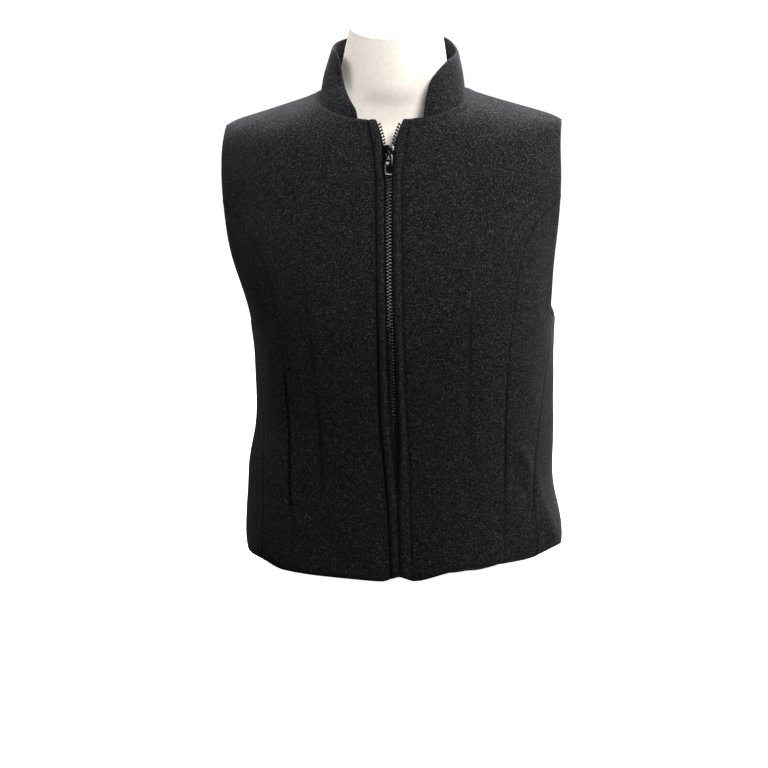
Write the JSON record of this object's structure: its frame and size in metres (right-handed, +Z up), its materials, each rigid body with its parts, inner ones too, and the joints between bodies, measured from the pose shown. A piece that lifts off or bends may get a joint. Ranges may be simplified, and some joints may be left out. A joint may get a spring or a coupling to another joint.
{
  "type": "wool vest on a dress form",
  "caption": "Dark heathered wool vest with a set-back stand collar, front zip, princess seams and in-seam pockets, worn by a smooth limbless dress form.",
  "frame": {"origin": "on the form's flat base, below the shoulder ridge in the body's middle plane", "axes": "+Z up, -Y out of the vest's front, +X to the wearer's left"},
  "size_m": [0.3949, 0.236, 0.6493],
  "materials": {
    "wool": "felted melton wool, charcoal with pale flecks",
    "tape": "woven black tape",
    "zip_plastic": "moulded black, satin",
    "linen": "plain cream linen cover"
  },
  "bodies": {
    "vest_and_form": {"dress_form": "linen", "front_right": "wool", "front_left": "wool", "side_front_right": "wool", "side_front_left": "wool", "back": "wool", "collar": "wool", "pocket_facing_right": "wool", "pocket_facing_left": "wool", "zip_tape_right": "tape", "zip_tape_left": "tape", "zip_teeth_right": "zip_plastic", "zip_teeth_left": "zip_plastic", "zip_chain": "zip_plastic", "zip_slider": "zip_plastic"},
    "pull_tab": {"zip_pull": "zip_plastic"}
  },
  "joints": [
    {"name": "zip_pull_hinge", "type": "hinge", "parent": "vest_and_form", "child": "pull_tab", "pos_m": [-0.0026, -0.09381, 0.49767], "axis": [-1, 0, 0], "range_deg": [0, 160]}
  ]
}
